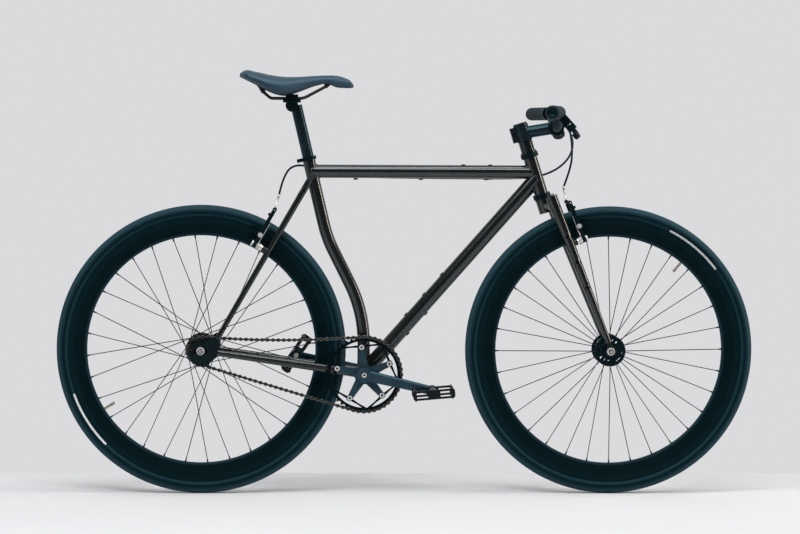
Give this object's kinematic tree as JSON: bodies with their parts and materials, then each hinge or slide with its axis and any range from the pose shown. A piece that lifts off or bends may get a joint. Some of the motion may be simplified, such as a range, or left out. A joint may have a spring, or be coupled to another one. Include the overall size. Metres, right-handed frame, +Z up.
{
  "type": "fixed gear bicycle",
  "caption": "City bicycle with a bent seat tube, straight fork, deep rims, single-speed chain drive, riser bar and rim brakes.",
  "frame": {"origin": "on the ground midway between the two axles", "axes": "+X forward, +Y to the rider's left, +Z up; the chain is on the -Y side"},
  "size_m": [1.6559, 0.593, 1.0012],
  "materials": {
    "frame_paint": "satin metallic gunmetal with a warm tint",
    "black_alloy": "satin black anodised",
    "rim_black": "matte black anodised",
    "silver_steel": "plated steel",
    "dark_steel": "black coated steel",
    "chain_steel": "oiled dark steel",
    "tyre": "matte",
    "tube_rubber": "matte",
    "grip_rubber": "matte grooved",
    "saddle_skin": "satin synthetic cover",
    "black_plastic": "moulded matte",
    "housing": "extruded housing"
  },
  "bodies": {
    "frame": {"head_tube": "frame_paint", "top_tube": "frame_paint", "down_tube": "frame_paint", "seat_tube": "frame_paint", "bottom_bracket_shell": "frame_paint", "chainstays": "frame_paint", "seatstays": "frame_paint", "rear_dropouts": "frame_paint", "frame_fittings": "frame_paint", "headset_cups": "black_alloy", "seat_collar": "black_alloy", "bottom_bracket_cups": "black_alloy", "rear_axle": "silver_steel", "rear_brake_cable": "housing", "chain": "chain_steel"},
    "saddle_assembly": {"seatpost": "black_alloy", "saddle_clamp": "black_alloy", "saddle_rails": "silver_steel", "saddle_base": "black_plastic", "saddle_cover": "saddle_skin"},
    "steering": {"fork_steerer": "dark_steel", "fork_crown": "frame_paint", "fork_blades": "frame_paint", "fork_dropouts": "frame_paint", "fork_fittings": "frame_paint", "headset_spacers": "black_alloy", "stem": "black_alloy", "stem_faceplate": "black_alloy", "stem_bolts": "silver_steel", "handlebar": "black_alloy", "grips": "grip_rubber", "lever_perches": "black_alloy", "front_axle": "silver_steel", "front_brake_cable": "housing", "rear_brake_cable_loop": "housing"},
    "front_wheel": {"front_tyre": "tyre", "front_inner_tube": "tube_rubber", "front_rim": "rim_black", "front_spokes": "dark_steel", "front_hub": "black_alloy"},
    "rear_wheel": {"rear_tyre": "tyre", "rear_inner_tube": "tube_rubber", "rear_rim": "rim_black", "rear_spokes": "dark_steel", "rear_hub": "black_alloy", "rear_cog": "silver_steel"},
    "crankset": {"crank_spindle": "dark_steel", "crank_right": "black_alloy", "crank_left": "black_alloy", "chainring": "black_alloy", "crank_bolts": "silver_steel", "pedal_axles": "silver_steel"},
    "right_pedal": {"pedal_right": "black_plastic"},
    "left_pedal": {"pedal_left": "black_plastic"},
    "right_lever": {"brake_lever_right": "black_alloy"},
    "left_lever": {"brake_lever_left": "black_alloy"},
    "front_left_arm": {"brake_arm_front_left": "black_alloy"},
    "front_right_arm": {"brake_arm_front_right": "black_alloy"},
    "rear_left_arm": {"brake_arm_rear_left": "black_alloy"},
    "rear_right_arm": {"brake_arm_rear_right": "black_alloy"}
  },
  "joints": [
    {"name": "steering_turn", "type": "hinge", "parent": "frame", "child": "steering", "pos_m": [0.30772, 0, 0.75894], "axis": [-0.3007, 0, 0.9537], "range_deg": [-70, 70], "deforming": ["rear_brake_cable_loop"]},
    {"name": "front_wheel_spin", "type": "hinge", "parent": "steering", "child": "front_wheel", "pos_m": [0.485, 0, 0.343], "axis": [0, 1, 0], "continuous": true},
    {"name": "rear_wheel_spin", "type": "hinge", "parent": "frame", "child": "rear_wheel", "pos_m": [-0.485, 0, 0.343], "axis": [0, 1, 0], "continuous": true, "deforming": ["chain"]},
    {"name": "crank_spin", "type": "hinge", "parent": "frame", "child": "crankset", "pos_m": [-0.09967, 0, 0.287], "axis": [0, 1, 0], "continuous": true},
    {"name": "right_pedal_spin", "type": "hinge", "parent": "crankset", "child": "right_pedal", "pos_m": [0.06123, -0.075, 0.25044], "axis": [0, 1, 0], "continuous": true},
    {"name": "left_pedal_spin", "type": "hinge", "parent": "crankset", "child": "left_pedal", "pos_m": [-0.26057, 0.075, 0.32356], "axis": [0, 1, 0], "continuous": true},
    {"name": "seatpost_slide", "type": "slide", "parent": "frame", "child": "saddle_assembly", "axis": [-0.23, 0, 0.9732], "range_m": [-0.02, 0.02]},
    {"name": "right_lever_pull", "type": "hinge", "parent": "steering", "child": "right_lever", "pos_m": [0.379, -0.15246, 0.87248], "axis": [-0.7243, 0.139, -0.6754], "range_deg": [0, 22], "stiffness_Nm_per_rad": 0.8, "springref_deg": -11.46, "deforming": ["front_brake_cable"]},
    {"name": "left_lever_pull", "type": "hinge", "parent": "steering", "child": "left_lever", "pos_m": [0.379, 0.15246, 0.87248], "axis": [0.7243, 0.139, 0.6754], "range_deg": [0, 22], "stiffness_Nm_per_rad": 0.8, "springref_deg": -11.46, "deforming": ["rear_brake_cable"]},
    {"name": "front_left_arm_turn", "type": "hinge", "parent": "steering", "child": "front_left_arm", "pos_m": [0.4206, 0.04, 0.60894], "axis": [0.9283, 0, 0.3717], "range_deg": [0, 2.1]},
    {"name": "front_right_arm_turn", "type": "hinge", "parent": "steering", "child": "front_right_arm", "pos_m": [0.4206, -0.04, 0.60894], "axis": [-0.9283, 0, -0.3717], "range_deg": [0, 2.1]},
    {"name": "rear_right_arm_turn", "type": "hinge", "parent": "frame", "child": "rear_right_arm", "pos_m": [-0.35856, -0.04, 0.59389], "axis": [-0.866, 0, 0.5001], "range_deg": [0, 2.1]},
    {"name": "rear_left_arm_turn", "type": "hinge", "parent": "frame", "child": "rear_left_arm", "pos_m": [-0.35856, 0.04, 0.59389], "axis": [0.866, 0, -0.5001], "range_deg": [0, 2.1]}
  ],
  "couplings": [
    {"joint": "crank_spin", "follows": "rear_wheel_spin", "ratio": 0.36364},
    {"joint": "front_left_arm_turn", "follows": "right_lever_pull", "ratio": 0.0909},
    {"joint": "front_right_arm_turn", "follows": "right_lever_pull", "ratio": 0.0909},
    {"joint": "rear_left_arm_turn", "follows": "left_lever_pull", "ratio": 0.0909},
    {"joint": "rear_right_arm_turn", "follows": "left_lever_pull", "ratio": 0.0909}
  ]
}
